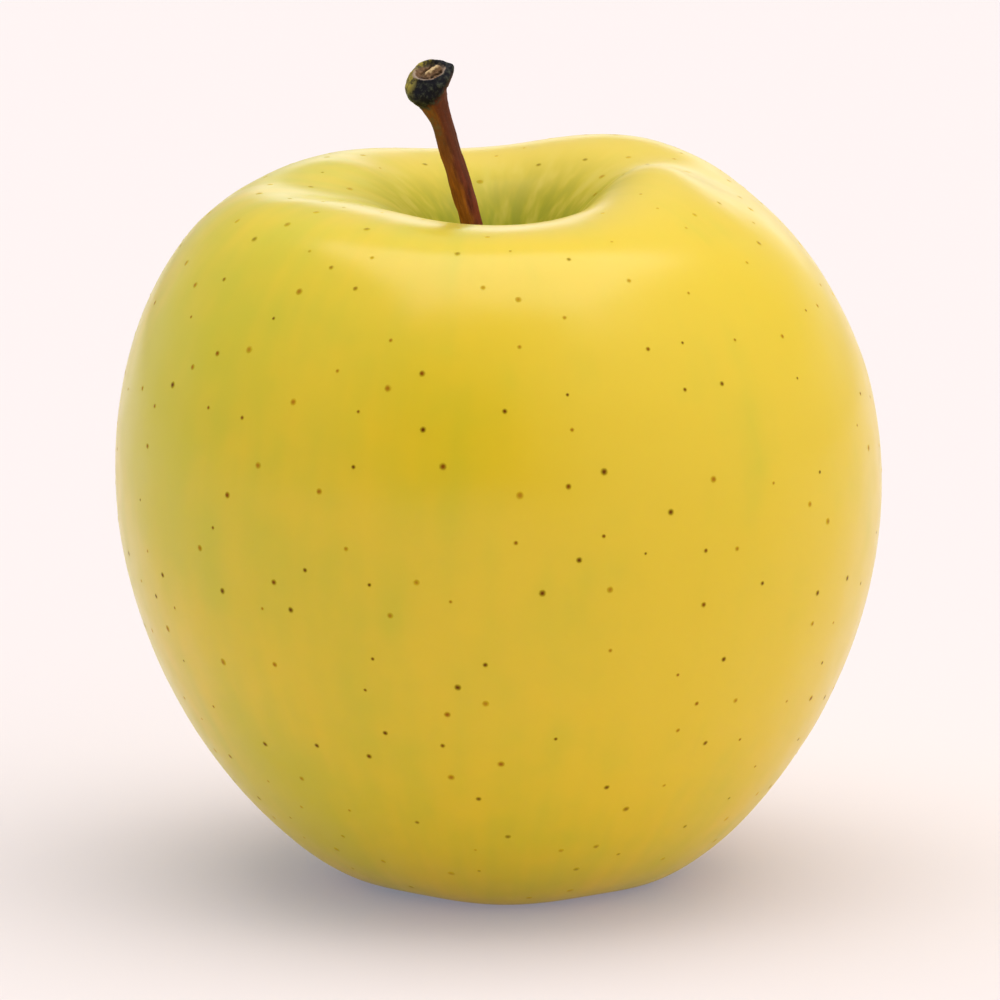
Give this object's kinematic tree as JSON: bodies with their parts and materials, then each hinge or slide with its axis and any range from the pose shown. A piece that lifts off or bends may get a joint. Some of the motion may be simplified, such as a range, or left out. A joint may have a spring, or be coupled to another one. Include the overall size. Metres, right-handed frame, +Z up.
{
  "type": "whole yellow apple",
  "caption": "Whole golden-yellow apple with uneven shoulders round a deep stem cavity, a bent woody stalk with a swollen scarred head, and a dried calyx in its base.",
  "frame": {"origin": "on the floor, at the middle of the apple's whole width and depth", "axes": "+Z up through the core, -Y the side that the picture shows, +X to the right in the picture; the stalk leans towards -X"},
  "size_m": [0.0748, 0.0748, 0.0803],
  "materials": {
    "skin": "waxy satin-gloss yellow apple skin, greener on one side and in the cavity, with small brown breathing spots",
    "bark": "matt red-brown twig bark, blackish and olive round the head, with a tan scar",
    "sepals": "dry, fuzzy grey-brown sepals"
  },
  "bodies": {
    "root": {"fruit": "skin", "stalk": "bark", "calyx": "sepals"}
  },
  "joints": []
}
